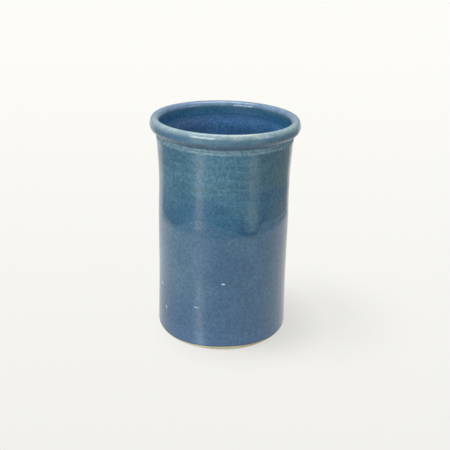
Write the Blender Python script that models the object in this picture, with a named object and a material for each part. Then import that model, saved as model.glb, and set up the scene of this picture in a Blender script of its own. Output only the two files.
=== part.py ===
# A hand-thrown stoneware cutlery holder: a fired clay body and the three coats of glaze on it.
# Metres, +Z up. The origin is the centre of the foot, on the table.
# Azimuth is measured round the axis from the front, -Y, towards +X.

from math import cos, dist, hypot, pi, radians, sin, tau

import bmesh
import bpy

# Overall form, measured over the glaze
HEIGHT = 0.1704
FOOT_RADIUS = 0.0525
LOWER_WALL_RADIUS = 0.0513
MIDDLE_WALL_RADIUS = 0.0508
WAIST_RADIUS = 0.0499
SHOULDER_RADIUS = 0.0511
WALL_HEIGHT_SHARES = (0.0, 0.27, 0.60, 0.79, 1.0)

# Rolled bead and lip, measured over the glaze: the crest is the rim's highest ring, a drop above the
# bead's widest ring and an inset inside it
BEAD_RADIUS = 0.0560
BEAD_DROP = 0.0053
BEAD_SECTION_RADIUS = 0.00525
BEAD_START_ANGLE = radians(-75)
CREST_INSET = 0.0031
LIP_SECTION_RADIUS = 0.0042

# Soft ridge under the bead, measured over the glaze, and the cove between them
RIDGE_RADIUS = 0.0514
RIDGE_SECTION_RADIUS = 0.0016
RIDGE_DROP = 0.0148
RIDGE_SPREAD = 0.0050
RIDGE_TURN_ANGLE = radians(55)
COVE_HANDLE_SHARE = 0.45

# Clay walls, floor and foot
CLAY_WALL = 0.0037
CLAY_FLOOR = 0.0070
MOUTH_FLARE = 0.0165
INSIDE_CORNER_RADIUS = 0.0080
FLOOR_RING_SHARE = 0.5
FOOT_BEVEL = 0.0006
FOOT_RING_WIDTH = 0.0085
RECESS_DEPTH = 0.0018
RECESS_SLOPE = 0.0015

# Glaze coats, and the clearance that keeps each coat off the clay and off its neighbour
COAT = 0.0005
CLEARANCE = 0.0003

# Uneven edges of the coats: mean height, swing, and the waves that make each line wander
FOOT_LINE_HEIGHT = 0.00125
FOOT_LINE_SWING = 0.00150
FOOT_LINE_COUNTS = (1, 2, 3, 4)
FOOT_LINE_SHARES = (0.25, 0.30, 0.25, 0.20)
FOOT_LINE_PHASES = (0.10, 0.21, 0.31, 0.42)
DIP_LINE_HEIGHT = 0.0982
DIP_LINE_SWING = 0.0079
DIP_LINE_COUNTS = (5, 8, 11)
DIP_LINE_SHARES = (0.60, 0.17, 0.23)
DIP_LINE_PHASES = (-1.37, -1.25, 1.40)
MOUTH_LINE_DEPTH = 0.0105
MOUTH_LINE_SWING = 0.0008
MOUTH_LINE_COUNTS = (2, 5)
MOUTH_LINE_SHARES = (0.60, 0.40)
MOUTH_LINE_PHASES = (0.40, 2.00)

# Facets round the pot and along each stretch of its section
AROUND_COUNT = 48
WALL_COUNT = 8
RIDGE_COUNT = 2
COVE_COUNT = 4
BEAD_UNDER_COUNT = 4
BEAD_OVER_COUNT = 5
LIP_COUNT = 4
FLARE_COUNT = 5
INSIDE_COUNT = 5
CORNER_COUNT = 4
COAT_WALL_COUNT = 4
COAT_FLARE_COUNT = 3
LINER_FLARE_COUNT = 2
SHARP_ANGLE = radians(35)
MERGE_DISTANCE = 0.00001

# Values worked out from the driving sizes
SKIN = COAT + CLEARANCE
CREST_RADIUS = BEAD_RADIUS - CREST_INSET
BEAD_CENTRE_RADIUS = BEAD_RADIUS - BEAD_SECTION_RADIUS
BEAD_CENTRE_HEIGHT = HEIGHT - BEAD_DROP
LIP_CENTRE_HEIGHT = HEIGHT - LIP_SECTION_RADIUS
RIDGE_HEIGHT = HEIGHT - RIDGE_DROP
RIDGE_CENTRE_RADIUS = RIDGE_RADIUS - RIDGE_SECTION_RADIUS
LIP_INNER_RADIUS = CREST_RADIUS - LIP_SECTION_RADIUS + SKIN
FLARE_END_HEIGHT = LIP_CENTRE_HEIGHT - MOUTH_FLARE
FLOOR_HEIGHT = RECESS_DEPTH + CLAY_FLOOR
CORNER_HEIGHT = FLOOR_HEIGHT + INSIDE_CORNER_RADIUS
MOUTH_LINE_HEIGHT = HEIGHT - MOUTH_LINE_DEPTH


def clear_scene():
    for item in list(bpy.data.objects):
        bpy.data.objects.remove(item, do_unlink=True)


def smooth(share):
    share = min(max(share, 0.0), 1.0)
    return share * share * (3 - 2 * share)


def between(low, high, count):
    return [low + (high - low) * step / count for step in range(count + 1)]


def arc(centre_radius, centre_height, reach, rise, start, end, count):
    """Points of the section along a circle, or along an upright ellipse where reach and rise differ."""
    turns = between(start, end, count)
    return [(centre_radius + reach * cos(a), centre_height + rise * sin(a)) for a in turns]


def wall_radius(height):
    """Clay face of the outer wall, as a smooth curve through the wall's named radii."""
    heights = [share * RIDGE_HEIGHT for share in WALL_HEIGHT_SHARES]
    glazed = (FOOT_RADIUS, LOWER_WALL_RADIUS, MIDDLE_WALL_RADIUS, WAIST_RADIUS, SHOULDER_RADIUS)
    radii = [radius - SKIN for radius in glazed]
    last = len(heights) - 1

    def slope(station):
        low, high = max(station - 1, 0), min(station + 1, last)
        return (radii[high] - radii[low]) / (heights[high] - heights[low])

    height = min(max(height, 0.0), heights[last])
    low = max(station for station in range(last) if heights[station] <= height)
    span = heights[low + 1] - heights[low]
    t = (height - heights[low]) / span
    rise = smooth(t)
    leave, arrive = t * (1 - t) ** 2 * span, t * t * (t - 1) * span
    curve = (1 - rise) * radii[low] + rise * radii[low + 1]
    return curve + leave * slope(low) + arrive * slope(low + 1)


def outer_radius(height):
    """Clay face of the outer wall with the swell that leads up to the ridge."""
    swell = RIDGE_RADIUS - SHOULDER_RADIUS
    return wall_radius(height) + swell * smooth((height - RIDGE_HEIGHT + RIDGE_SPREAD) / RIDGE_SPREAD)


def inner_radius(height):
    """Clay face of the inner wall, which flares out to the lip just below the mouth."""
    flare = smooth((height - FLARE_END_HEIGHT) / MOUTH_FLARE)
    return (1 - flare) * (wall_radius(height) - CLAY_WALL) + flare * LIP_INNER_RADIUS


def rim_path():
    """Clay section from the ridge through the cove and over the bead to the inner side of the lip."""
    ridge_size, bead_size, lip_size = (
        radius - SKIN for radius in (RIDGE_SECTION_RADIUS, BEAD_SECTION_RADIUS, LIP_SECTION_RADIUS))
    ridge = arc(RIDGE_CENTRE_RADIUS, RIDGE_HEIGHT, ridge_size, ridge_size, 0, RIDGE_TURN_ANGLE, RIDGE_COUNT)
    bead = arc(BEAD_CENTRE_RADIUS, BEAD_CENTRE_HEIGHT, bead_size, bead_size,
               BEAD_START_ANGLE, 0, BEAD_UNDER_COUNT)
    bead += arc(CREST_RADIUS, BEAD_CENTRE_HEIGHT, CREST_INSET - SKIN, BEAD_DROP - SKIN,
                0, pi / 2, BEAD_OVER_COUNT)[1:]
    lip = arc(CREST_RADIUS, LIP_CENTRE_HEIGHT, lip_size, lip_size, pi / 2, pi, LIP_COUNT)
    handle = COVE_HANDLE_SHARE * dist(ridge[-1], bead[0])
    leave = (ridge[-1][0] - handle * sin(RIDGE_TURN_ANGLE), ridge[-1][1] + handle * cos(RIDGE_TURN_ANGLE))
    arrive = (bead[0][0] + handle * sin(BEAD_START_ANGLE), bead[0][1] - handle * cos(BEAD_START_ANGLE))
    cove = [bezier(ridge[-1], leave, arrive, bead[0], t) for t in between(0.0, 1.0, COVE_COUNT)]
    return ridge + cove[1:-1] + bead + lip[1:]


def bezier(start, leave, arrive, end, t):
    weights = ((1 - t) ** 3, 3 * t * (1 - t) ** 2, 3 * t * t * (1 - t), t ** 3)
    points = (start, leave, arrive, end)
    return tuple(sum(w * p[axis] for w, p in zip(weights, points)) for axis in (0, 1))


def floor_path():
    """Clay section from the foot of the inner wall round the corner and in to the axis."""
    radius = inner_radius(CORNER_HEIGHT) - INSIDE_CORNER_RADIUS
    corner = arc(radius, CORNER_HEIGHT, INSIDE_CORNER_RADIUS, INSIDE_CORNER_RADIUS,
                 0, -pi / 2, CORNER_COUNT)
    return corner + [(radius * FLOOR_RING_SHARE, FLOOR_HEIGHT), (0.0, FLOOR_HEIGHT)]


def offset_path(path, distance):
    """The path moved out of the clay by a distance, square to the section."""
    moved = []
    for place, (radius, height) in enumerate(path):
        before, after = path[max(place - 1, 0)], path[min(place + 1, len(path) - 1)]
        normal = [0.0, 0.0]
        for start, end in ((before, (radius, height)), ((radius, height), after)):
            length = dist(start, end)
            if length > 0:
                normal[0] += (end[1] - start[1]) / length
                normal[1] -= (end[0] - start[0]) / length
        scale = distance / hypot(*normal)
        on_axis = radius == 0
        moved.append((0.0 if on_axis else radius + normal[0] * scale,
                      height + (distance if on_axis else normal[1] * scale)))
    return moved


def wander(azimuth, swing, counts, shares, phases):
    waves = zip(counts, shares, phases)
    return swing * sum(share * cos(count * azimuth - phase) for count, share, phase in waves)


def foot_line(azimuth):
    return FOOT_LINE_HEIGHT + wander(
        azimuth, FOOT_LINE_SWING, FOOT_LINE_COUNTS, FOOT_LINE_SHARES, FOOT_LINE_PHASES)


def dip_line(azimuth):
    return DIP_LINE_HEIGHT + wander(
        azimuth, DIP_LINE_SWING, DIP_LINE_COUNTS, DIP_LINE_SHARES, DIP_LINE_PHASES)


def mouth_line(azimuth):
    return MOUTH_LINE_HEIGHT + wander(
        azimuth, MOUTH_LINE_SWING, MOUTH_LINE_COUNTS, MOUTH_LINE_SHARES, MOUTH_LINE_PHASES)


def base_coat_path(azimuth):
    heights = between(foot_line(azimuth), dip_line(azimuth) - CLEARANCE / 2, COAT_WALL_COUNT)
    return [(outer_radius(height), height) for height in heights]


def dip_coat_path(azimuth):
    rise = between(dip_line(azimuth) + CLEARANCE / 2, RIDGE_HEIGHT - RIDGE_SPREAD, COAT_WALL_COUNT)
    swell = [RIDGE_HEIGHT - RIDGE_SPREAD / 2]
    fall = between(LIP_CENTRE_HEIGHT, mouth_line(azimuth) + CLEARANCE / 2, COAT_FLARE_COUNT)
    outside = [(outer_radius(height), height) for height in rise + swell]
    inside = [(inner_radius(height), height) for height in fall[1:]]
    return outside + rim_path() + inside


def liner_coat_path(azimuth):
    flare = between(mouth_line(azimuth) - CLEARANCE / 2, FLARE_END_HEIGHT, LINER_FLARE_COUNT)
    fall = flare[:-1] + between(FLARE_END_HEIGHT, CORNER_HEIGHT, INSIDE_COUNT)[:-1]
    return [(inner_radius(height), height) for height in fall] + floor_path()


def finish(shape, name, colour, roughness):
    """The modelled shape as a named object, shaded smooth, in a material of its own."""
    mesh = bpy.data.meshes.new(name)
    shape.to_mesh(mesh)
    shape.free()
    mesh.shade_smooth()
    mesh.set_sharp_from_angle(angle=SHARP_ANGLE)
    material = bpy.data.materials.new(name)
    material.use_nodes = True
    shader = material.node_tree.nodes["Principled BSDF"]
    shader.inputs["Base Color"].default_value = (*colour, 1.0)
    shader.inputs["Roughness"].default_value = roughness
    shader.inputs["Metallic"].default_value = 0.0
    mesh.materials.append(material)
    piece = bpy.data.objects.new(name, mesh)
    bpy.context.scene.collection.objects.link(piece)
    return piece


def clay_body():
    """The thrown pot: one section turned round the axis."""
    outside = [(outer_radius(height), height)
               for height in between(FOOT_BEVEL, RIDGE_HEIGHT - RIDGE_SPREAD, WALL_COUNT)]
    swell_height = RIDGE_HEIGHT - RIDGE_SPREAD / 2
    outside.append((outer_radius(swell_height), swell_height))
    flare = [(inner_radius(height), height)
             for height in between(LIP_CENTRE_HEIGHT, FLARE_END_HEIGHT, FLARE_COUNT)[1:]]
    inside = [(inner_radius(height), height)
              for height in between(FLARE_END_HEIGHT, CORNER_HEIGHT, INSIDE_COUNT)[1:-1]]
    foot_radius = outer_radius(FOOT_BEVEL) - FOOT_BEVEL
    recess_radius = foot_radius - FOOT_RING_WIDTH
    underside = [(0.0, RECESS_DEPTH), (recess_radius - RECESS_SLOPE, RECESS_DEPTH),
                 (recess_radius, 0.0), (foot_radius, 0.0)]
    section = outside + rim_path() + flare + inside + floor_path() + underside

    clay = bmesh.new()
    points = [clay.verts.new((0.0, -radius, height)) for radius, height in section]
    for start, end in zip(points, points[1:] + points[:1]):
        if start.co.y or end.co.y:
            clay.edges.new((start, end))
    bmesh.ops.spin(clay, geom=clay.verts[:] + clay.edges[:], cent=(0, 0, 0), axis=(0, 0, 1),
                   angle=tau, steps=AROUND_COUNT, use_merge=True)
    bmesh.ops.remove_doubles(clay, verts=clay.verts, dist=MERGE_DISTANCE)
    bmesh.ops.recalc_face_normals(clay, faces=clay.faces)
    return finish(clay, "clay_body", (0.62, 0.57, 0.44), 0.75)


def coat(name, path_at, colour, roughness):
    """A coat of glaze: its clay side is lofted round the pot, then thickened outwards."""
    shell = bmesh.new()
    columns = []
    pole = None
    for step in range(AROUND_COUNT):
        azimuth = tau * step / AROUND_COUNT
        column = []
        for radius, height in offset_path(path_at(azimuth), CLEARANCE):
            if radius == 0:
                pole = pole or shell.verts.new((0.0, 0.0, height))
                column.append(pole)
            else:
                column.append(shell.verts.new((radius * sin(azimuth), -radius * cos(azimuth), height)))
        columns.append(column)
    for here, there in zip(columns, columns[1:] + columns[:1]):
        for low in range(len(here) - 1):
            corners = (here[low], there[low], there[low + 1], here[low + 1])
            shell.faces.new(list(dict.fromkeys(corners)))
    piece = finish(shell, name, colour, roughness)

    thicken = piece.modifiers.new("coat", "SOLIDIFY")
    thicken.thickness = COAT
    thicken.offset = 1
    thicken.use_even_offset = True
    return piece


def build():
    clear_scene()
    pieces = [
        clay_body(),
        coat("liner_glaze", liner_coat_path, (0.030, 0.105, 0.215), 0.12),
        coat("base_glaze", base_coat_path, (0.065, 0.150, 0.250), 0.14),
        coat("dip_glaze", dip_coat_path, (0.055, 0.165, 0.205), 0.14),
    ]
    holder = bpy.data.objects.new("cutlery_holder", None)
    bpy.context.scene.collection.objects.link(holder)
    for piece in pieces:
        piece.parent = holder


build()
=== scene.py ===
# The looks of a hand-thrown stoneware cutlery holder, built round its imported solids.
# Metres, +Z up. Azimuth runs round the pot from the front, -Y, towards +X.

from math import atan2, cos, degrees, dist, hypot, pi, radians, sin, sqrt, tau

import bpy
from mathutils import Matrix, Vector, noise


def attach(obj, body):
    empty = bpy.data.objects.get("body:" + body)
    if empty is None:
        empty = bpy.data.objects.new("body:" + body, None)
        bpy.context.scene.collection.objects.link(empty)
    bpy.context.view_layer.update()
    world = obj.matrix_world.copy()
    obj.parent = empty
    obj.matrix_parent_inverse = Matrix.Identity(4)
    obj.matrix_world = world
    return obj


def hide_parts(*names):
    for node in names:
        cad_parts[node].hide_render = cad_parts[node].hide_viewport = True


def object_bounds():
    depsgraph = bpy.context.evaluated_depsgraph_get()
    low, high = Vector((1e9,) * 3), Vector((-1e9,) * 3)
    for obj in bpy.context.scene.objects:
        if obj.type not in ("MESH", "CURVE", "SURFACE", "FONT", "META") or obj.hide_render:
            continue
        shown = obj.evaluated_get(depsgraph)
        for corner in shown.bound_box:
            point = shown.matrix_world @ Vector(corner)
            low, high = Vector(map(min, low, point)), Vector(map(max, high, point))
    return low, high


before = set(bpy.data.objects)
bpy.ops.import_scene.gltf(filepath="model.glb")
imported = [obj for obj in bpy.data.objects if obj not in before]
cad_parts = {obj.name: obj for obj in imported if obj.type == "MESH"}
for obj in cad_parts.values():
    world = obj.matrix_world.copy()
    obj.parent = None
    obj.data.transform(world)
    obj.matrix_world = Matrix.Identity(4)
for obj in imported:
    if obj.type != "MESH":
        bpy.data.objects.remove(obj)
cadLow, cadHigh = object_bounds()
mm = 0.001

# The pot's section, measured over the glaze: the same sizes as the solids have
rimRise = 0.46 * mm       # the rim was thrown that much higher at its left, and lower at its right
pot = {
    "height": cadHigh.z - rimRise, "beadRadius": cadHigh.x,
    "wallRadii": (52.5 * mm, 51.3 * mm, 50.8 * mm, 49.9 * mm, 51.1 * mm),
    "wallHeightShares": (0.0, 0.27, 0.60, 0.79, 1.0),
    "beadDrop": 5.3 * mm, "beadSectionRadius": 5.25 * mm, "beadStartAngle": radians(-75),
    "crestRadius": 52.9 * mm, "lipSectionRadius": 4.2 * mm,
    "ridgeRadius": 51.4 * mm, "ridgeSectionRadius": 1.6 * mm, "ridgeDrop": 14.8 * mm,
    "ridgeSpread": 5.0 * mm, "ridgeTurnAngle": radians(55), "coveHandleShare": 0.45,
    "wall": 5.3 * mm, "mouthFlare": 16.5 * mm,
    "floorHeight": 9.6 * mm, "cornerRadius": 7.2 * mm,
    "glaze": 0.5 * mm,        # how far the clay lies under the glaze
    "lean": 0.00255,          # the axis leans to the right on its way up, by this share
    "tiltPower": 4,           # how quickly the rim's tilt dies away below the rim
    "dent": 0.03 * mm, "dentSize": 19 * mm,
    "turns": 192,             # steps round the axis
    "weld": 0.002 * mm, "creaseAngle": radians(40),
}
ridgeHeight = pot["height"] - pot["ridgeDrop"]
swellStart = ridgeHeight - pot["ridgeSpread"]
lipHeight = pot["height"] - pot["lipSectionRadius"]
lipRadius = pot["crestRadius"] - pot["lipSectionRadius"]
beadHeight = pot["height"] - pot["beadDrop"]
flareEnd = lipHeight - pot["mouthFlare"]
cornerHeight = pot["floorHeight"] + pot["cornerRadius"]

# Where each coat of glaze ends: the mean height, and the waves (count, share, phase) of a wandering
# edge or the places, azimuth in degrees and height in millimetres, where it turns. Points of the wall
# within reach of an edge move up and down with it.
edges = {
    "foot": {"height": 1.25 * mm, "swing": 1.5 * mm, "reach": 14 * mm, "waves": (
        (1, 0.25, 0.10), (2, 0.30, 0.21), (3, 0.25, 0.31), (4, 0.20, 0.42), (11, 0.05, 0.80))},
    "dip": {"height": 98 * mm, "reach": 14 * mm, "turnings": (
        (-180, 99.0), (-148, 103.0), (-112, 95.0), (-70, 101.5), (-46, 94.3), (-20, 104.0), (27, 90.6),
        (34, 101.0), (50, 99.8), (80, 103.5), (118, 94.5), (155, 101.0), (180, 99.0))},
    "mouth": {"height": pot["height"] - 10.5 * mm, "swing": 0.8 * mm, "reach": 4 * mm,
              "waves": ((2, 0.60, 0.40), (5, 0.40, 2.00))},
}

# Marks that the fingers leave on the wall as it is thrown, a shallow screw round the pot
marks = {
    "pitch": 4.6 * mm, "finePitch": 2.3 * mm, "depth": 0.009 * mm, "fineShare": 0.35, "fineStarts": 2,
    "swellPitch": 38 * mm, "swellShare": 0.35, "swellStarts": 2, "clearOfEnds": 9 * mm,
}


def smooth(share):
    share = min(max(share, 0.0), 1.0)
    return share * share * (3 - 2 * share)


def between(low, high, step):  # places from low to high, evenly, about a step apart
    count = max(1, round(abs(high - low) / step))
    return [low + (high - low) * place / count for place in range(count + 1)]


def partWay(start, end, share):
    return tuple(first + (last - first) * share for first, last in zip(start, end))


def wander(edge, azimuth):  # how far an edge lies above its mean height
    if "waves" in edge:
        waves = sum(share * cos(count * azimuth - phase) for count, share, phase in edge["waves"])
        return edge["swing"] * waves
    angle = degrees(azimuth)
    for (start, low), (end, high) in zip(edge["turnings"], edge["turnings"][1:]):
        if start <= angle <= end:
            return (low + (high - low) * smooth((angle - start) / (end - start))) * mm - edge["height"]


def outerRadius(height):  # a smooth curve through the wall's radii, with the swell under the ridge
    heights = [share * ridgeHeight for share in pot["wallHeightShares"]]
    radii = pot["wallRadii"]
    last = len(heights) - 1

    def slope(station):
        low, high = max(station - 1, 0), min(station + 1, last)
        return (radii[high] - radii[low]) / (heights[high] - heights[low])

    inside = min(max(height, 0.0), heights[last])
    low = max(station for station in range(last) if heights[station] <= inside)
    span = heights[low + 1] - heights[low]
    share = (inside - heights[low]) / span
    rise = smooth(share)
    curve = (1 - rise) * radii[low] + rise * radii[low + 1]
    curve += share * (1 - share) ** 2 * span * slope(low)
    curve += share * share * (share - 1) * span * slope(low + 1)
    return curve + (pot["ridgeRadius"] - radii[last]) * smooth((height - swellStart) / pot["ridgeSpread"])


def innerRadius(height):
    flare = smooth((height - flareEnd) / pot["mouthFlare"])
    wall = outerRadius(min(height, swellStart)) - pot["wall"]
    return (1 - flare) * wall + flare * lipRadius


def arc(centre, reach, rise, start, end, step):
    turns = between(start, end, step / max(reach, rise))
    return [(centre[0] + reach * cos(turn), centre[1] + rise * sin(turn)) for turn in turns]


def bezier(points, share):
    rest = 1 - share
    weights = (rest ** 3, 3 * share * rest ** 2, 3 * share * share * rest, share ** 3)
    return tuple(sum(weight * point[axis] for weight, point in zip(weights, points)) for axis in (0, 1))


def rimPath(step):  # ridge, cove, bead, and over the lip to its inner side
    size, turn, start = pot["ridgeSectionRadius"], pot["ridgeTurnAngle"], pot["beadStartAngle"]
    ridge = arc((pot["ridgeRadius"] - size, ridgeHeight), size, size, 0, turn, step)
    size = pot["beadSectionRadius"]
    bead = arc((pot["beadRadius"] - size, beadHeight), size, size, start, 0, step)
    crest = pot["crestRadius"]
    bead += arc((crest, beadHeight), pot["beadRadius"] - crest, pot["beadDrop"], 0, pi / 2, step)[1:]
    size = pot["lipSectionRadius"]
    lip = arc((crest, lipHeight), size, size, pi / 2, pi, step)
    handle = pot["coveHandleShare"] * dist(ridge[-1], bead[0])
    leave = (ridge[-1][0] - handle * sin(turn), ridge[-1][1] + handle * cos(turn))
    arrive = (bead[0][0] + handle * sin(start), bead[0][1] - handle * cos(start))
    shares = between(0, 1, step / dist(ridge[-1], bead[0]))
    cove = [bezier((ridge[-1], leave, arrive, bead[0]), share) for share in shares]
    return ridge + cove[1:-1] + bead + lip[1:]


def outerPath(low, high, step):
    return [(outerRadius(height), height) for height in between(low, high, step)]


def innerPath(high, low, step):
    return [(innerRadius(height), height) for height in between(high, low, step)]


def floorPath(step):
    size = pot["cornerRadius"]
    radius = innerRadius(cornerHeight) - size
    corner = arc((radius, cornerHeight), size, size, 0, -pi / 2, step)
    return corner + [(place, pot["floorHeight"]) for place in between(radius, 0, step)[1:]]


def sunk(path, depthAt):  # the path moved into the clay, square to the section, by a depth at each point
    moved, travel = [], 0.0
    total = sum(dist(here, there) for here, there in zip(path, path[1:]))
    for place, (radius, height) in enumerate(path):
        before, after = path[max(place - 1, 0)], path[min(place + 1, len(path) - 1)]
        travel += dist(before, (radius, height))
        run = Vector((after[0] - before[0], after[1] - before[1])).normalized()
        depth = depthAt(travel, total - travel)
        inward = 0.0 if radius == 0 else -run.y * depth
        moved.append((radius + inward, height + run.x * depth if radius else height - depth))
    return moved


def evenly(depth):
    return lambda fromStart, toEnd: depth


def rolledEdge(drop, reach):  # a depth that falls away at both ends of a coat in a quarter round
    def depthAt(fromStart, toEnd):
        near = min(fromStart, toEnd, reach) / reach
        return drop * (1 - sqrt(1 - (1 - near) ** 2))
    return depthAt


def closeTo(end, following, reach):  # points that lie closer together towards an end of a path
    step = dist(end, following)
    return [partWay(end, following, share * reach / step) for share in coat["rowShares"]]


def edgeRows(path, reach, atStart, atEnd):  # more points close to the ends, where the edge rolls over
    near = closeTo(path[0], path[1], reach) if atStart else []
    far = closeTo(path[-1], path[-2], reach) if atEnd else []
    return path[:1] + near + path[1:-1] + far[::-1] + path[-1:]


def placeAt(azimuth, radius, height):
    return Vector((radius * sin(azimuth), -radius * cos(azimuth), height))


def azimuthOf(point):
    return atan2(point.co.x, -point.co.y)


def throwingMark(azimuth, height):
    ends = min(height, swellStart - height) / marks["clearOfEnds"]
    turn = azimuth / tau
    coarse = sin(tau * (height / marks["pitch"] + turn))
    fine = sin(tau * (height / marks["finePitch"] - marks["fineStarts"] * turn))
    swell = marks["swellShare"] * sin(tau * height / marks["swellPitch"] + marks["swellStarts"] * azimuth)
    strength = marks["depth"] * smooth(ends) * (1 - marks["swellShare"] + swell)
    return strength * (coarse + marks["fineShare"] * fine)


def turnedSheet(name, path):  # the section, extruded point by point and spun round the axis
    bpy.ops.object.select_all(action="DESELECT")
    bpy.ops.mesh.primitive_plane_add(size=mm, location=(0, 0, 0))
    piece = bpy.context.object
    piece.name = piece.data.name = name
    bpy.ops.object.mode_set(mode="EDIT")
    bpy.ops.mesh.select_all(action="SELECT")
    bpy.ops.mesh.merge(type="CENTER")
    bpy.ops.transform.translate(value=(0, -path[0][0], path[0][1]))
    for here, there in zip(path, path[1:]):
        step = (0, here[0] - there[0], there[1] - here[1])
        bpy.ops.mesh.extrude_vertices_move(TRANSFORM_OT_translate={"value": step})
    bpy.ops.mesh.select_all(action="SELECT")
    bpy.ops.mesh.spin(steps=pot["turns"], angle=tau, center=(0, 0, 0), axis=(0, 0, 1))
    bpy.ops.mesh.select_all(action="SELECT")
    bpy.ops.mesh.remove_doubles(threshold=pot["weld"])
    bpy.ops.mesh.normals_make_consistent(inside=False)
    bpy.ops.object.mode_set(mode="OBJECT")
    return piece


def moveRings(piece, rule):  # rule gives a point's new radius and height
    for point in piece.data.vertices:
        azimuth = azimuthOf(point)
        radius, height = rule(azimuth, hypot(point.co.x, point.co.y), point.co.z)
        point.co = placeAt(azimuth, radius, height)


def settle(height, azimuth, edge, reach):  # a height near an edge, moved along with that edge
    return wander(edge, azimuth) * (1 - smooth(abs(height - edge["height"]) / reach))


def dressWall(azimuth, radius, height, edgesHere):
    settled = height + sum(settle(height, azimuth, edge, edge["reach"]) for edge in edgesHere)
    dent = pot["dent"] * noise.noise(placeAt(azimuth, radius, settled) / pot["dentSize"])
    uneven = throwingMark(azimuth, settled) + dent
    return radius + outerRadius(settled) - outerRadius(height) + uneven, settled


def thicken(piece, thickness, offset):
    shell = piece.modifiers.new("coat", "SOLIDIFY")
    shell.thickness = thickness
    shell.offset = offset
    bpy.context.view_layer.objects.active = piece
    bpy.ops.object.modifier_apply(modifier="coat")


def leanPiece(piece):  # the pot as it left the wheel: its rim a little out of level, its axis out of plumb
    for point in piece.data.vertices:
        x, z = point.co.x, point.co.z
        point.co.z = z - rimRise * x / pot["crestRadius"] * (z / pot["height"]) ** pot["tiltPower"]
        point.co.x = x + pot["lean"] * (z - beadHeight)


def finishPiece(piece, node, material):
    leanPiece(piece)
    bpy.ops.object.select_all(action="DESELECT")
    piece.select_set(True)
    bpy.context.view_layer.objects.active = piece
    bpy.ops.object.shade_smooth_by_angle(angle=pot["creaseAngle"])
    piece.data.materials.clear()
    piece.data.materials.append(material)
    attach(piece, "root")
    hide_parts(node)
    print("made", piece.name, "with", len(piece.data.polygons), "faces")
    return piece


def markEdge(piece, name, edge):  # how far each point lies above a coat's edge, for the glaze to read
    heights = piece.data.attributes.new(name, "FLOAT", "POINT")
    for point, value in zip(piece.data.vertices, heights.data):
        value.value = point.co.z - edge["height"] - wander(edge, azimuthOf(point))


# Shader maths

class Wire:  # one output of a shader node, which a formula uses like a number
    def __init__(self, board, socket):
        self.board = board
        self.socket = socket

    def __add__(self, other):
        return self.board.maths("ADD", self, other)

    def __sub__(self, other):
        return self.board.maths("SUBTRACT", self, other)

    def __rsub__(self, other):
        return self.board.maths("SUBTRACT", other, self)

    def __mul__(self, other):
        return self.board.maths("MULTIPLY", self, other)

    def __truediv__(self, other):
        return self.board.maths("DIVIDE", self, other)

    def __pow__(self, other):
        return self.board.maths("POWER", self, other)

    __radd__ = __add__

    def ramp(self, low, high):  # 0 at low, 1 at high, smooth between; low may be the larger
        flip = low > high
        ends = {0: self, 1: min(low, high), 2: max(low, high), 3: float(flip), 4: float(not flip)}
        return self.board.node("ShaderNodeMapRange", {"interpolation_type": "SMOOTHSTEP"}, ends)

    def band(self, centre, flat, fade):  # 1 within flat of the centre, 0 past fade more
        away = self.board.maths("ABSOLUTE", self - centre)
        return away.ramp(flat + fade, flat)


class Board:  # a node tree that formulas are written on
    def __init__(self, tree):
        self.tree = tree

    def node(self, kind, settings, inputs, output=0):
        made = self.tree.nodes.new(kind)
        for name, value in settings.items():
            setattr(made, name, value)
        for key, value in inputs.items():
            self.feed(made.inputs[key], value)
        return Wire(self, made.outputs[output])

    def feed(self, socket, value):
        if isinstance(value, Wire):
            self.tree.links.new(value.socket, socket)
        elif socket.type == "RGBA" and len(value) == 3:
            socket.default_value = (*value, 1.0)
        else:
            socket.default_value = value

    def maths(self, operation, *inputs):
        return self.node("ShaderNodeMath", {"operation": operation}, dict(enumerate(inputs)))

    def colour(self, share, first, second):
        return self.node("ShaderNodeMix", {"data_type": "RGBA"}, {0: share, 6: first, 7: second}, 2)

    def toned(self, colour, tone, share):  # a tone laid over the colour, in full where the share is 1
        return self.colour(share * tone["strength"], colour, tone["colour"])

    def tinted(self, colour, tint):
        return self.node("ShaderNodeMix", {"data_type": "RGBA", "blend_type": "MULTIPLY"},
                         {0: 1.0, 6: colour, 7: tint}, 2)

    def scaled(self, colour, factor):
        return self.node("ShaderNodeVectorMath", {"operation": "SCALE"}, {0: colour, "Scale": factor})

    def noise(self, size, stretch=(1, 1, 1), detail=2.0, roughness=0.5, offset=0.0):
        scale = tuple(1 / (size * share) for share in stretch)
        place = self.node("ShaderNodeMapping", {}, {"Vector": self.place, "Scale": scale,
                                                    "Location": (offset, offset, offset)})
        inputs = {"Vector": place, "Scale": 1.0, "Detail": detail, "Roughness": roughness}
        return self.node("ShaderNodeTexNoise", {}, inputs)

    def cells(self, size):
        return self.node("ShaderNodeTexVoronoi", {}, {"Vector": self.place, "Scale": 1 / size})

    def readPlace(self):  # where a point of the surface lies
        self.place = self.node("ShaderNodeTexCoord", {}, {}, "Object")
        split = self.node("ShaderNodeSeparateXYZ", {}, {0: self.place}).socket.node
        self.x, self.y, self.z = (Wire(self, split.outputs[axis]) for axis in range(3))
        self.radius = self.maths("SQRT", self.x * self.x + self.y * self.y)
        tilt = self.x * (self.z / pot["height"]) ** float(pot["tiltPower"])
        self.level = self.z + tilt * (rimRise / pot["crestRadius"])

    def side(self, azimuth, low, high):  # fades in round the pot, from one cosine to an azimuth to another
        towards = (self.x * sin(azimuth) - self.y * cos(azimuth)) / self.radius
        return towards.ramp(low, high)

    def attribute(self, name):
        return self.node("ShaderNodeAttribute", {"attribute_name": name}, {}, "Fac")


def startMaterial(name, constants):
    material = bpy.data.materials.new(name)
    material.use_nodes = True
    board = Board(material.node_tree)
    board.shader = material.node_tree.nodes["Principled BSDF"]
    for socket, value in constants.items():
        board.shader.inputs[socket].default_value = value
    board.readPlace()
    return material, board


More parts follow.
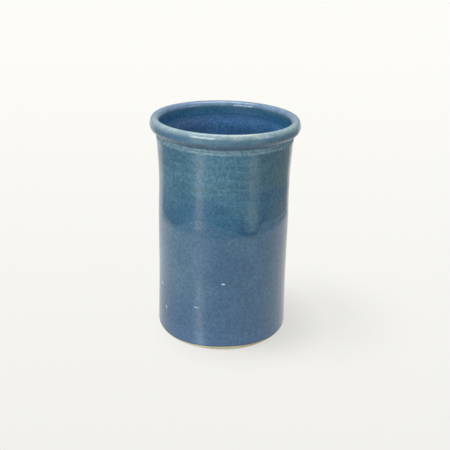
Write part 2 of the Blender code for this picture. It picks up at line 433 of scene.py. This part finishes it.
def setSurface(board, colour, surface, peel, height):  # surface holds the roughness and the bump's depth
    inputs = {"Strength": 1.0, "Distance": surface["bump"], "Height": height}
    bump = board.node("ShaderNodeBump", {}, inputs)
    roughness = surface["roughness"] + (peel - 0.5) * surface["roughnessSwing"]
    board.feed(board.shader.inputs["Base Color"], colour)
    board.feed(board.shader.inputs["Roughness"], roughness)
    board.feed(board.shader.inputs["Normal"], bump)


# Glazes. A noise is (size, stretch, detail, roughness, offset). A tone is a colour, the strength that
# it is laid on with, and where it shows: a side of the pot, as an azimuth and the two cosines between
# which it fades in, a band, as its middle, half width and fade, or the two ends between which it fades
# in along a height, a depth, a distance or a noise.

glassy = {  # what the three glazes share
    "IOR": 1.5, "Specular IOR Level": 0.2, "Coat Weight": 1.0, "Coat Roughness": 0.07, "Coat IOR": 1.5,
}

grain = {  # fine mottle, which shows most in the red part of a colour
    "coarse": (2.86 * mm, (1, 1, 1), 1.0), "fine": (1.3 * mm, (1, 1, 1), 2.0, 0.6, 4.0),
    "contrast": (0.34, 0.66), "fineShare": 0.6, "colourShares": (1.0, 0.62, 0.50),
}

dip = {
    "teal": (0.044, 0.139, 0.206), "coveShadeSide": (0.105, 0.165, 0.225), "backCrest": (0.122, 0.205, 0.320),
    "cloud": (22 * mm, (1, 1, 0.7), 2.0, 0.55, 3.1), "streak": (30 * mm, (1, 1, 0.06), 3.0, 0.6),
    "streaky": (0.35, 0.65), "streakSwing": 0.24, "streakLeast": 0.89,
    "deep": {"colour": (0.030, 0.116, 0.188), "strength": 0.7, "cloudy": (0.60, 0.42)},
    "centre": {"colour": (0.053, 0.155, 0.226), "strength": 1.0, "side": (radians(-7), 0.88, 0.985),
               "heights": (104 * mm, 132 * mm), "least": 0.4},
    # the right side, sage-grey and darker: partly the glaze's own tone, partly painted shade where less
    # light falls
    "sageAndShade": {"colour": (0.038, 0.108, 0.148), "strength": 0.9, "side": (radians(72), 0.45, 0.90)},
    # just above the dip line, where it lies over the base glaze
    "patch": (14 * mm, (1, 1, 0.6), 2.0, 0.5, 7.7), "patchSwing": 12 * mm,
    "overlap": {"colour": (0.019, 0.100, 0.186), "strength": 1.0, "reach": (24 * mm, 12 * mm),
                "most": 0.9, "lessOnSageAndShade": 0.5},
    "lobe": (0.006, 0.064, 0.140), "lobeFull": 3 * mm, "lobeShares": (1.3, 0.3),
    # round the rim: depths and bands here are measured down from its top
    "waver": (9 * mm,), "waverSwing": 1.6 * mm, "outsideRadii": (49.6 * mm, 50.0 * mm),
    "bead": {"colour": (0.064, 0.150, 0.215), "strength": 1.0, "depths": (8.45 * mm, 2.45 * mm),
             "least": 0.5, "swing": 0.6},
    "blotch": (8 * mm, (1, 1, 0.6), 2.0, 0.6, 6.1), "blotchy": (0.48, 0.60),
    "rimBlue": {"colour": (0.046, 0.124, 0.250), "strength": 0.6},
    # under the bead: a darker purple-brown band, partly thin glaze and partly painted shade from the bead,
    # darkest at the front
    "cove": {"colour": (0.048, 0.092, 0.155), "strength": 0.85, "band": (9.55 * mm, 1.8 * mm, 2.2 * mm),
             "side": (0, 0.6, 0.95), "lessCoat": 0.5},
    # the ridge under the cove: a pale line, partly glaze breaking thin over it and partly a painted
    # highlight where it faces up to the light
    "ridge": {"colour": (0.150, 0.262, 0.325), "strength": 1.0, "band": (13.35 * mm, 0.6 * mm, 2.2 * mm),
              "lessCoat": 0.5},
    # over the lip: paler where the glaze thins, and paler still towards the front with a painted highlight;
    # backCrest is the bluer tone at the back
    "crest": {"colour": (0.240, 0.340, 0.370), "depths": (5.75 * mm, 1.55 * mm), "outsideDrop": 1.0 * mm,
              "side": (0, -0.3, 0.5), "least": 0.78},
    "wornAndSheen": (3.2 * mm, (1, 1, 1), 2.0, 0.5, 9.0), "wornAndSheenContrast": (0.35, 0.65),
    "broken": {"least": 0.15, "swing": 0.4, "side": (0, 0.4, -0.4)},
    "thin": {"colour": (0.280, 0.350, 0.320), "strength": 0.7, "side": (radians(13), 0.95, 0.99),
             "noise": (6 * mm,), "contrast": (0.40, 0.62)},
    # inside the mouth, under the lip: a darker blue, partly the glaze's own colour and partly painted shade
    "mouth": {"colour": (0.020, 0.096, 0.200), "strength": 1.0, "depths": (4.15 * mm, 7.95 * mm),
              "lessCoat": 0.8},
    "grainDepths": (3.95 * mm, 8.95 * mm), "grainLeast": 0.4, "grain": 0.46,
    "peel": (2.4 * mm,), "peelBump": 0.12,
    "rings": (40 * mm, (1, 1, 0.035), 3.0, 0.65, 1.3), "ringBump": 0.6,
    "surface": {"roughness": 0.42, "roughnessSwing": 0.12, "bump": 0.05 * mm},
}

# Where the dip ran together and darkened, just above its edge: azimuth, half width, reach, strength
lobes = ((radians(25), radians(14), 15 * mm, 0.9), (radians(-53), radians(11), 12 * mm, 0.65))

base = {
    "blue": (0.029, 0.098, 0.182), "cloud": (20 * mm, (1, 1, 0.8), 2.0, 0.55, 5.3),
    "runs": (4 * mm, (1, 1, 8), 2.0, 0.55),
    "deep": {"colour": (0.020, 0.083, 0.168), "strength": 0.7, "cloudy": (0.60, 0.42)},
    "pale": {"colour": (0.044, 0.120, 0.205), "strength": 0.5, "cloudy": (0.56, 0.72),
             "runny": (0.55, 0.72), "heights": (62 * mm, 30 * mm)},
    "violet": {"colour": (0.026, 0.088, 0.182), "strength": 0.7, "heights": (60 * mm, 15 * mm)},
    "heel": {"colour": (0.036, 0.104, 0.208), "strength": 0.8, "heights": (20 * mm, 6 * mm)},
    # paler on the left of the lower wall: a painted sheen, the pale reflection that side shows
    "left": {"colour": (0.040, 0.120, 0.200), "strength": 1.0, "side": (radians(-62), 0.60, 0.92),
             "heights": (22 * mm, 60 * mm), "least": 0.3},
    "belowDip": {"colour": (0.044, 0.126, 0.208), "strength": 1.0, "reach": (18 * mm, 1 * mm),
                 "cloudSwing": 14 * mm, "least": 0.55, "moreAtLeft": 0.4},
    "spot": {"colour": (0.062, 0.150, 0.185), "strength": 0.5, "band": (4 * mm, 1 * mm, 4 * mm),
             "side": (radians(-55), cos(radians(9)), cos(radians(2)))},
    "foot": {"colour": (0.016, 0.045, 0.105), "strength": 0.85, "reach": (1.6 * mm, 0.2 * mm)},
    "fleckAndGlint": {"colour": (0.36, 0.55, 0.67), "strength": 1.0, "rim": 0.3, "front": (0.0, 0.2), "bump": 1.2},
    "grain": 0.45,
    "peel": (2.2 * mm,), "peelBump": 0.12,
    "rings": (40 * mm, (1, 1, 0.035), 3.0, 0.65, 4.3), "ringBump": 0.6,
    "surface": {"roughness": 0.42, "roughnessSwing": 0.12, "bump": 0.05 * mm},
}

# Pale flecks in the base glaze, partly pale specks and partly painted glints off small bumps: azimuth,
# height, half width, half height
flecksAndGlints = (
    (radians(0.6), 56.5 * mm, 2.1 * mm, 0.9 * mm), (radians(-22.2), 34.5 * mm, 2.5 * mm, 0.5 * mm),
    (radians(-57.5), 23.2 * mm, 1.1 * mm, 1.9 * mm), (radians(-66.5), 40.8 * mm, 1.5 * mm, 1.9 * mm),
    (radians(112), 71.0 * mm, 1.5 * mm, 0.6 * mm), (radians(168), 29.0 * mm, 1.6 * mm, 0.6 * mm),
)

liner = {
    "blue": (0.040, 0.126, 0.262), "cloud": (16 * mm, (1, 1, 1), 3.0, 0.6, 2.2),
    "deep": {"colour": (0.016, 0.068, 0.170), "strength": 0.6, "cloudy": (0.60, 0.38)},
    "purple": {"colour": (0.040, 0.080, 0.155), "strength": 0.8, "side": (radians(-120), 0.55, 0.95)},
    "grain": (1.0 * mm, (1, 1, 1), 2.0, 0.6),
    "pit": {"colour": (0.016, 0.068, 0.170), "strength": 0.7, "contrast": (0.50, 0.36)},
    "speck": {"colour": (0.115, 0.225, 0.370), "strength": 0.7, "contrast": (0.56, 0.68)},
    # painted shade: darker towards the liner's top, below the lip
    "top": {"colour": (0.013, 0.064, 0.128), "strength": 1.0, "depths": (14.95 * mm, 10.45 * mm),
            "least": 0.2, "swing": 0.7},
    "peel": (2.0 * mm,), "coat": 0.2,
    "surface": {"roughness": 0.45, "roughnessSwing": 0.12, "bump": 0.04 * mm},
}

clay = {
    "cream": (0.47, 0.46, 0.31), "cloud": (18 * mm, (1, 1, 1), 3.0), "specks": 2.1 * mm,
    "grit": (0.55 * mm, (1, 1, 1), 3.0, 0.7),
    "toast": {"colour": (0.37, 0.33, 0.20), "strength": 0.6, "cloudy": (0.40, 0.66)},
    "gritty": {"colour": (0.37, 0.33, 0.20), "strength": 0.4, "contrast": (0.45, 0.25)},
    "speck": {"colour": (0.16, 0.11, 0.07), "strength": 1.0, "size": (0.16, 0.08), "cloudy": (0.4, 0.6)},
    "speckBump": 0.5, "surface": {"roughness": 0.72, "roughnessSwing": 0.2, "bump": 0.06 * mm},
    "constants": {"IOR": 1.45, "Specular IOR Level": 0.35},
}


def fleckAndGlintMask(board):
    found, look = None, base["fleckAndGlint"]
    for azimuth, height, halfWidth, halfHeight in flecksAndGlints:
        along = (board.x * cos(azimuth) + board.y * sin(azimuth)) / halfWidth
        up = (board.z - height) / halfHeight
        away = board.maths("SQRT", along * along + up * up)
        spot = away.ramp(1.0, look["rim"]) * board.side(azimuth, *look["front"])
        found = spot if found is None else board.maths("MAXIMUM", found, spot)
    return found


def speckled(board, colour, strength):  # darker and paler grains of the glaze
    coarse = board.noise(*grain["coarse"]).ramp(*grain["contrast"])
    fine = board.noise(*grain["fine"]).ramp(*grain["contrast"])
    mottle = fine * grain["fineShare"] + coarse * (1 - grain["fineShare"])
    swing = tuple(strength * share for share in grain["colourShares"])
    tint = board.colour(mottle, tuple(1 - part for part in swing), tuple(1 + part for part in swing))
    return board.tinted(colour, tint)


def dipWall(board, cloud):  # the dip's colour on the wall, down to its darker overlap with the base glaze
    deep, centre, sageAndShade, over = dip["deep"], dip["centre"], dip["sageAndShade"], dip["overlap"]
    colour = board.toned(dip["teal"], deep, cloud.ramp(*deep["cloudy"]))
    middle = board.side(*centre["side"]) * board.z.ramp(*centre["heights"])
    colour = board.toned(colour, centre, middle * (centre["least"] + cloud))
    streak = board.noise(*dip["streak"]).ramp(*dip["streaky"])
    colour = board.scaled(colour, dip["streakLeast"] + streak * dip["streakSwing"])
    # painted shade with a sage tint: the right of the wall is laid greyer and darker
    right = board.side(*sageAndShade["side"])
    colour = board.toned(colour, sageAndShade, right)

    patch = board.noise(*dip["patch"])
    above = board.attribute("aboveDip") + (patch - 0.5) * dip["patchSwing"]
    share = above.ramp(*over["reach"]) * (over["most"] - right * over["lessOnSageAndShade"])
    colour = board.toned(colour, over, share)
    wide, narrow = dip["lobeShares"]
    for azimuth, halfWidth, reach, strength in lobes:
        spread = board.side(azimuth, cos(halfWidth * wide), cos(halfWidth * narrow))
        colour = board.colour(spread * above.ramp(reach, dip["lobeFull"]) * strength, colour, dip["lobe"])
    return colour


def dipGlaze():
    material, board = startMaterial("dip_glaze", glassy)
    cloud = board.noise(*dip["cloud"])
    colour = dipWall(board, cloud)
    bead, cove, ridge, crest, thin = dip["bead"], dip["cove"], dip["ridge"], dip["crest"], dip["thin"]
    mouth, broken = dip["mouth"], dip["broken"]
    depth = pot["height"] - board.level - (board.noise(*dip["waver"]) - 0.5) * dip["waverSwing"]
    outside = board.radius.ramp(*dip["outsideRadii"])

    rise = depth.ramp(*bead["depths"]) * outside
    colour = board.toned(colour, bead, rise * (bead["least"] + cloud * bead["swing"]))
    blotches = board.noise(*dip["blotch"]).ramp(*dip["blotchy"])
    colour = board.toned(colour, dip["rimBlue"], rise * blotches)
    # painted shade under the bead, over the cove's thinner glaze; darker towards the front
    coveShade = depth.band(*cove["band"]) * outside
    tone = board.colour(board.side(*cove["side"]), dip["coveShadeSide"], cove["colour"])
    colour = board.colour(coveShade * cove["strength"], colour, tone)
    # painted highlight along the ridge, over its thinner glaze; the coat is made weaker there
    ridgeHighlight = depth.band(*ridge["band"]) * outside
    colour = board.toned(colour, ridge, ridgeHighlight)

    # painted highlight on the lip, strongest at the front, over the paler thin glaze of the crest
    onCrest = (depth + outside * crest["outsideDrop"]).ramp(*crest["depths"])
    wornAndSheen = board.noise(*dip["wornAndSheen"]).ramp(*dip["wornAndSheenContrast"])
    tone = board.colour(board.side(*crest["side"]), dip["backCrest"], crest["colour"])
    whole = 1 - blotches * (broken["least"] + board.side(*broken["side"]) * broken["swing"])
    share = onCrest * (crest["least"] + wornAndSheen * (1 - crest["least"])) * whole
    colour = board.colour(share, colour, tone)
    thinner = board.side(*thin["side"]) * board.noise(*thin["noise"]).ramp(*thin["contrast"])
    colour = board.toned(colour, thin, onCrest * thinner)
    # painted shade under the lip inside the mouth, in the glaze's deep blue
    mouthShade = (1 - outside) * depth.ramp(*mouth["depths"])
    colour = board.toned(colour, mouth, mouthShade)
    grainy = depth.ramp(*dip["grainDepths"]) * (1 - dip["grainLeast"]) + dip["grainLeast"]
    colour = board.colour(grainy, colour, speckled(board, colour, dip["grain"]))

    peel = board.noise(*dip["peel"])
    height = peel * dip["peelBump"] + board.noise(*dip["rings"]) * dip["ringBump"]
    setSurface(board, colour, dip["surface"], peel, height)
    gloss = (1 - mouthShade * mouth["lessCoat"]) * (1 - coveShade * cove["lessCoat"])
    board.feed(board.shader.inputs["Coat Weight"], gloss * (1 - ridgeHighlight * ridge["lessCoat"]))
    return material


def baseGlaze():
    material, board = startMaterial("base_glaze", glassy)
    deep, pale, left, spot = base["deep"], base["pale"], base["left"], base["spot"]
    near, foot, fleckAndGlint = base["belowDip"], base["foot"], base["fleckAndGlint"]
    below = 0 - board.attribute("aboveDip")
    cloud = board.noise(*base["cloud"])
    runs = board.noise(*base["runs"])
    colour = board.toned(base["blue"], deep, cloud.ramp(*deep["cloudy"]))
    colour = board.toned(colour, pale, cloud.ramp(*pale["cloudy"]))
    colour = board.toned(colour, base["violet"], board.z.ramp(*base["violet"]["heights"]))
    colour = board.toned(colour, pale, runs.ramp(*pale["runny"]) * board.z.ramp(*pale["heights"]))
    colour = board.toned(colour, base["heel"], board.z.ramp(*base["heel"]["heights"]))
    # painted sheen on the left of the lower wall, also laid more strongly below the dip line there
    sheenOnLeft = board.side(*left["side"])
    colour = board.toned(colour, left, sheenOnLeft * board.z.ramp(*left["heights"]) * (left["least"] + cloud))
    nearDip = (below + (cloud - 0.5) * near["cloudSwing"]).ramp(*near["reach"])
    colour = board.toned(colour, near, nearDip * (near["least"] + sheenOnLeft * near["moreAtLeft"]))
    colour = board.toned(colour, spot, board.side(*spot["side"]) * below.band(*spot["band"]))
    colour = speckled(board, colour, base["grain"])
    colour = board.toned(colour, foot, board.attribute("aboveFoot").ramp(*foot["reach"]))
    # painted glints: near-white spots, with a small raised bump, that stand in for bumps in the glaze
    # catching the light
    spots = fleckAndGlintMask(board)
    colour = board.toned(colour, fleckAndGlint, spots)

    peel = board.noise(*base["peel"])
    height = peel * base["peelBump"] + board.noise(*base["rings"]) * base["ringBump"]
    setSurface(board, colour, base["surface"], peel, height + spots * fleckAndGlint["bump"])
    return material


def linerGlaze():
    material, board = startMaterial("liner_glaze", glassy)
    board.shader.inputs["Coat Weight"].default_value = liner["coat"]
    deep, top = liner["deep"], liner["top"]
    cloud = board.noise(*liner["cloud"])
    colour = board.toned(liner["blue"], deep, cloud.ramp(*deep["cloudy"]))
    colour = board.toned(colour, liner["purple"], board.side(*liner["purple"]["side"]))
    mottle = board.noise(*liner["grain"])
    for tone in (liner["pit"], liner["speck"]):
        colour = board.toned(colour, tone, mottle.ramp(*tone["contrast"]))
    # painted shade near the top of the liner, so that it meets the mouth band, which the light inside
    # doesn't reach, without a step
    near = (pot["height"] - board.level).ramp(*top["depths"])
    colour = board.toned(colour, top, near * (top["least"] + cloud * top["swing"]))
    peel = board.noise(*liner["peel"])
    setSurface(board, colour, liner["surface"], peel, peel + cloud)
    return material


def bareClay():
    material, board = startMaterial("bare_clay", clay["constants"])
    toast, gritty, speck = clay["toast"], clay["gritty"], clay["speck"]
    cloud = board.noise(*clay["cloud"])
    grit = board.noise(*clay["grit"])
    specks = board.cells(clay["specks"])
    colour = board.toned(clay["cream"], toast, cloud.ramp(*toast["cloudy"]))
    colour = board.toned(colour, gritty, grit.ramp(*gritty["contrast"]))
    colour = board.toned(colour, speck, specks.ramp(*speck["size"]) * cloud.ramp(*speck["cloudy"]))
    setSurface(board, colour, clay["surface"], grit, grit + specks * clay["speckBump"])
    return material


# The four pieces

body = {
    "bevel": 0.7 * mm, "ringWidth": 8.5 * mm, "ringRound": 0.5 * mm,
    "recessDepth": 1.8 * mm, "recessSlope": 1.5 * mm,
    "groovePitch": 1.7 * mm, "grooveDepth": 0.07 * mm, "grooveReach": 0.2 * mm,
    "grooveStart": 3 * mm, "grooveEnd": 2 * mm,
    # how far apart the section's points lie
    "wallStep": 3 * mm, "swellStep": 1 * mm, "rimStep": 1.2 * mm, "insideStep": 5 * mm, "floorStep": 4 * mm,
    "bevelStep": 0.25 * mm, "ringStep": 1.6 * mm, "recessStep": 0.4 * mm, "slopeStep": 0.3 * mm,
}


def throwBody():
    outside = outerPath(body["bevel"], swellStart, body["wallStep"])
    outside += outerPath(swellStart + pot["ridgeSpread"] / 2, ridgeHeight, body["swellStep"])[:-1]
    inside = innerPath(lipHeight, cornerHeight, body["insideStep"])[1:-1] + floorPath(body["floorStep"])
    outside, rim, inside = (sunk(path, evenly(pot["glaze"])) for path in (
        outside, rimPath(body["rimStep"]), inside))
    footRadius = outside[0][0] - body["bevel"]
    inner = footRadius - body["ringWidth"]
    start = inner - body["recessSlope"]
    recess = [(radius, body["recessDepth"]) for radius in between(0, start, body["recessStep"])]
    slope = [(radius, body["recessDepth"] * (1 - smooth((radius - start) / (inner - start))))
             for radius in between(start, inner, body["slopeStep"])[1:]]
    ring = [(radius, 0.0) for radius in between(inner + body["ringRound"], footRadius, body["ringStep"])]
    bevel = body["bevel"]
    heel = arc((footRadius, bevel), bevel, bevel, -pi / 2, 0, body["bevelStep"])[1:-1]
    piece = turnedSheet("thrown_body", outside + rim + inside + recess + slope + ring + heel + outside[:1])

    def turn(azimuth, radius, height):
        if height < body["recessDepth"] + body["grooveReach"] and radius < start:
            groove = sin(tau * (radius / body["groovePitch"] - azimuth / tau))
            fade = smooth(radius / body["grooveStart"]) * smooth((start - radius) / body["grooveEnd"])
            return radius, height + body["grooveDepth"] * groove * fade
        return radius, height

    moveRings(piece, turn)
    return finishPiece(piece, "clay_body", bareClay())


coat = {
    "thickness": 0.6 * mm, "under": 0.05 * mm, "roll": 0.9 * mm, "row": 0.75 * mm, "rimRow": 0.4 * mm,
    "rowShares": (0.04, 0.14, 0.32, 0.60), "tuck": 7 * mm,
    "dipRoll": 2.6 * mm, "dipDrop": 0.35 * mm, "lipSlack": 0.3 * mm,
}


def pourBase():
    low, high = edges["foot"]["height"], edges["dip"]["height"] + coat["tuck"]
    path = edgeRows(outerPath(low, high, coat["row"]), coat["roll"], True, False)
    roll = rolledEdge(pot["glaze"] - coat["under"], coat["roll"])
    path = sunk(path, lambda fromStart, toEnd: coat["under"] + roll(fromStart, coat["roll"]))
    piece = turnedSheet("base_skin", path)
    moveRings(piece, lambda azimuth, radius, height: dressWall(
        azimuth, radius, height, (edges["foot"], edges["dip"])))
    markEdge(piece, "aboveDip", edges["dip"])
    markEdge(piece, "aboveFoot", edges["foot"])
    thicken(piece, coat["thickness"], -1)
    return finishPiece(piece, "base_glaze", baseGlaze())


def dipRim():
    wall = outerPath(edges["dip"]["height"], swellStart, coat["row"])
    wall = edgeRows(wall, coat["row"], True, False)
    swell = outerPath(swellStart, ridgeHeight, coat["row"])[1:-1]
    inside = innerPath(lipHeight, edges["mouth"]["height"], coat["row"])[1:]
    path = edgeRows(wall + swell + rimPath(coat["rimRow"]) + inside, coat["roll"], False, True)
    line, lip = rolledEdge(coat["dipDrop"], coat["dipRoll"]), rolledEdge(coat["dipDrop"], coat["roll"])
    path = sunk(path, lambda fromStart, toEnd: (line if fromStart < toEnd else lip)(fromStart, toEnd))
    piece = turnedSheet("dip_skin", path)

    def dress(azimuth, radius, height):
        if radius < lipRadius + coat["lipSlack"] and height > ridgeHeight:
            settled = height + settle(height, azimuth, edges["mouth"], edges["mouth"]["reach"])
            return radius + innerRadius(settled) - innerRadius(height), settled
        if height > swellStart:
            return radius, height
        return dressWall(azimuth, radius, height, (edges["dip"],))

    moveRings(piece, dress)
    markEdge(piece, "aboveDip", edges["dip"])
    thicken(piece, coat["thickness"], -1)
    return finishPiece(piece, "dip_glaze", dipGlaze())


lining = {
    "tuck": 2 * mm, "row": 1.2 * mm, "floorRow": 0.8 * mm, "under": 0.12 * mm, "edgeReach": 8 * mm,
    "spiralPitch": 5.5 * mm, "spiralDepth": 0.10 * mm, "spiralFade": 4 * mm,
    "ringPitch": 7.5 * mm, "ringDepth": 0.08 * mm, "ringFade": 8 * mm,
}


def pourLiner():
    top = edges["mouth"]
    path = innerPath(top["height"] + lining["tuck"], cornerHeight, lining["row"])
    path += floorPath(lining["floorRow"])[1:]
    piece = turnedSheet("liner_skin", sunk(path, evenly(lining["under"])))
    flatRadius = innerRadius(cornerHeight) - pot["cornerRadius"]

    def dress(azimuth, radius, height):
        turn = azimuth / tau
        if height < cornerHeight:
            spiral = sin(tau * (radius / lining["spiralPitch"] + turn))
            fade = smooth((flatRadius - radius) / lining["spiralFade"])
            fade *= smooth(radius / lining["spiralFade"])
            return radius, height + lining["spiralDepth"] * spiral * fade
        settled = height + settle(height, azimuth, top, lining["edgeReach"])
        fade = smooth((flareEnd - settled) / lining["ringFade"])
        fade *= smooth((settled - cornerHeight) / lining["ringFade"])
        ring = lining["ringDepth"] * sin(tau * (settled / lining["ringPitch"] - turn)) * fade
        return radius + innerRadius(settled) - innerRadius(height) + ring, settled

    moveRings(piece, dress)
    thicken(piece, coat["thickness"], 1)
    return finishPiece(piece, "liner_glaze", linerGlaze())


pieces = [throwBody(), pourBase(), dipRim(), pourLiner()]


# Camera and studio

view = {  # the photograph's camera: place in metres, angles in degrees, sensor and lens in millimetres
    "back": 0.46452, "up": 0.28226, "left": 0.0002, "pitch": 23.307, "yaw": 0.169, "roll": 1.065,
    "sensor": 36.0, "lens": 50.998,
}


def placeCamera():
    camera = bpy.data.objects.new("camera", bpy.data.cameras.new("camera"))
    camera.data.sensor_width = view["sensor"]
    camera.data.lens = view["lens"]
    turn = Matrix.Rotation(radians(-view["yaw"]), 4, "Z")
    turn = turn @ Matrix.Rotation(radians(90 - view["pitch"]), 4, "X")
    turn = turn @ Matrix.Rotation(radians(view["roll"]), 4, "Z")
    camera.matrix_world = Matrix.Translation((-view["left"], -view["back"], view["up"])) @ turn
    bpy.context.scene.collection.objects.link(camera)
    bpy.context.scene.camera = camera


studio = {
    # the floor as the camera sees it: its glow far away, and the dip in it towards the camera
    "floorSize": 14.0, "floorFar": 0.964, "floorDip": 0.093, "floorStart": -0.153, "floorFade": 0.5,
    "fadeMost": 1.02, "floorTint": (1.0, 0.991, 0.95), "floorGrey": 0.02, "shadowLevel": 0.887,
    # what the glaze mirrors: distances from the pot's axis, sides of the pot, and glows
    "tableRadii": (0.293, 0.258), "tableGlow": 0.70, "roomGlow": 0.10,
    "behindSide": (pi, 0.2, 0.9), "behindShade": 0.13,
    "leftSide": (radians(-100), 0.2, 0.9), "leftRadii": (0.16, 0.07), "leftShade": 0.17,
    "backSide": (radians(-174), cos(radians(54)), cos(radians(44))), "backGlow": 0.58,
    "frontSide": (radians(-4), cos(radians(38)), cos(radians(10))), "frontRadii": (0.32, 0.60),
    "frontGlow": 0.50,
    # the light from all round
    "skyTint": (0.97, 0.99, 1.0), "horizon": 0.34, "ceiling": 1.05, "leftGain": 0.25,
}

# Bands of light on the table, as the wall mirrors them: where on the wall each is seen, the way it runs,
# its half width as an angle, and its glow close to the pot, further out and past the table
streaks = (
    (radians(-16.3), radians(-43), 0.062, 1.10, 0.05, 1.25),
    (radians(-17.2), radians(-42), 0.170, 0.10, 0.50, 0.42),
    (radians(21.0), radians(50), 0.090, 0.0, 0.0, 0.90),
)
streakShape = {
    "start": (0.0, 0.01), "close": (0.14, 0.09), "far": (0.24, 0.28), "softness": 2.0, "spread": 2,
}

# The lights that cast the shadow: azimuth, elevation, width in the sky, share of the floor's light
shadowSuns = {
    "sideSun": (radians(-86.6), radians(65.3), radians(20.4), 0.101),
    "topSun": (radians(-117.6), radians(84.3), radians(14.3), 0.147),
}
sunDistance = 2.0

# Soft boxes: azimuth, elevation, distance, width, height, radiance, what it lights, seen in the gloss
softBoxes = {
    "window": (radians(-34), radians(29), 1.3, 0.80, 0.40, 7.0, "outsideOnly", True),
    "card": (radians(62), radians(25), 1.3, 0.50, 0.60, 2.1, "outsideOnly", True),
    "overhead": (radians(180), radians(82), 1.2, 0.90, 0.55, 5.0, "potOnly", True),
    "inside": (radians(-8), radians(74), 1.2, 0.90, 0.55, 10.0, "linerOnly", False),
}


def layFloor():
    bpy.ops.object.select_all(action="DESELECT")
    bpy.ops.mesh.primitive_plane_add(size=studio["floorSize"], location=(0, 0, 0))
    floor = bpy.context.object
    floor.name = "floor"
    material = bpy.data.materials.new("floor")
    material.use_nodes = True
    material.cycles.emission_sampling = "NONE"
    board = Board(material.node_tree)
    board.readPlace()
    sunlit = studio["shadowLevel"] * sum(sun[-1] for sun in shadowSuns.values())
    fade = board.maths("EXPONENT", (studio["floorStart"] - board.y) / studio["floorFade"])
    fade = board.maths("MINIMUM", fade, studio["fadeMost"])
    shown = studio["floorFar"] - sunlit - fade * studio["floorDip"]
    mirrored = tableGlow(board)
    seen = board.node("ShaderNodeLightPath", {}, {}, "Is Camera Ray")
    glow = mirrored + seen * (shown - mirrored)
    tint = studio["floorTint"]
    own = board.node("ShaderNodeEmission", {}, {"Color": tint, "Strength": glow})
    grey = tuple(studio["floorGrey"] * part for part in tint)
    lit = board.node("ShaderNodeBsdfDiffuse", {}, {"Color": grey})
    both = board.node("ShaderNodeAddShader", {}, {0: own, 1: lit})
    board.feed(material.node_tree.nodes["Material Output"].inputs["Surface"], both)
    floor.data.materials.append(material)
    return floor


def tableGlow(board):  # what the glaze mirrors: a white table, a dim room past it, a paper sweep behind
    table = board.radius.ramp(*studio["tableRadii"])
    behind = board.side(*studio["behindSide"]) * studio["behindShade"]
    left = board.side(*studio["leftSide"]) * board.radius.ramp(*studio["leftRadii"]) * studio["leftShade"]
    back = board.side(*studio["backSide"]) * studio["backGlow"]
    white = board.maths("MAXIMUM", table * (studio["tableGlow"] - behind - left), back)
    ahead = board.side(*studio["frontSide"]) * board.radius.ramp(*studio["frontRadii"])
    glow = board.maths("MAXIMUM", white, studio["roomGlow"]) + ahead * studio["frontGlow"]
    for streak in streaks:
        glow = glow + streakGlow(board, *streak)
    return glow


def streakGlow(board, seen, heading, angle, close, middle, far):
    wall = pot["wallRadii"][2]
    x = board.x - wall * sin(seen)
    y = board.y + wall * cos(seen)
    along = x * sin(heading) - y * cos(heading)
    aside = board.maths("ABSOLUTE", x * cos(heading) + y * sin(heading))
    width = (along * streakShape["spread"] + wall) * angle
    beam = (aside / width).ramp(streakShape["softness"], 0.0) * along.ramp(*streakShape["start"])
    nearer = along.ramp(*streakShape["close"]) * (close - middle)
    further = along.ramp(*streakShape["far"]) * (far - middle)
    return beam * (nearer + middle + further)


def aimAt(azimuth, elevation, distance, target):
    place = target + placeAt(azimuth, cos(elevation) * distance, sin(elevation) * distance)
    facing = (place - target).to_track_quat("Z", "Y").to_matrix().to_4x4()
    return Matrix.Translation(place) @ facing


def hang(light, azimuth, elevation, distance, lit):
    lamp = bpy.data.objects.new(light.name, light)
    lamp.matrix_world = aimAt(azimuth, elevation, distance, Vector((0, 0, pot["height"] / 2)))
    lamp.light_linking.receiver_collection = lit
    bpy.context.scene.collection.objects.link(lamp)
    return lamp


def hangLights(floor):
    lit = {"floorOnly": [floor], "outsideOnly": pieces[:3], "potOnly": pieces, "linerOnly": pieces[3:]}
    groups = {}
    for name, members in lit.items():
        groups[name] = bpy.data.collections.new(name)
        for member in members:
            groups[name].objects.link(member)

    for name, (azimuth, elevation, angle, share) in shadowSuns.items():
        sun = bpy.data.lights.new(name, "SUN")
        sun.angle = angle
        sun.energy = share * studio["shadowLevel"] * pi / studio["floorGrey"] / sin(elevation)
        hang(sun, azimuth, elevation, sunDistance, groups["floorOnly"])

    for name, (azimuth, elevation, distance, width, height, radiance, group, mirrored) in softBoxes.items():
        box = bpy.data.lights.new(name, "AREA")
        box.shape = "RECTANGLE"
        box.size = width
        box.size_y = height
        box.energy = radiance * width * height * pi
        hang(box, azimuth, elevation, distance, groups[group]).visible_glossy = mirrored


def paintSky():
    world = bpy.data.worlds.new("studio")
    world.use_nodes = True
    bpy.context.scene.world = world
    board = Board(world.node_tree)
    way = board.node("ShaderNodeTexCoord", {}, {}, "Generated")
    split = board.node("ShaderNodeSeparateXYZ", {}, {0: way}).socket.node
    x, z = Wire(board, split.outputs[0]), Wire(board, split.outputs[2])
    level = studio["horizon"] + z.ramp(0.0, 1.0) * (studio["ceiling"] - studio["horizon"])
    level = level * (1 - x * studio["leftGain"])
    seen = board.node("ShaderNodeLightPath", {}, {}, "Is Camera Ray")
    tint = tuple(part * studio["floorFar"] for part in studio["floorTint"])
    light = board.node("ShaderNodeBackground", {}, {"Color": studio["skyTint"], "Strength": level})
    pale = board.node("ShaderNodeBackground", {}, {"Color": tint, "Strength": 1.0})
    both = board.node("ShaderNodeMixShader", {}, {0: seen, 1: light, 2: pale})
    board.feed(world.node_tree.nodes["World Output"].inputs["Surface"], both)


placeCamera()
hangLights(layFloor())
paintSky()
bpy.context.scene.view_settings.view_transform = "Standard"
print("camera, floor and lights are set")
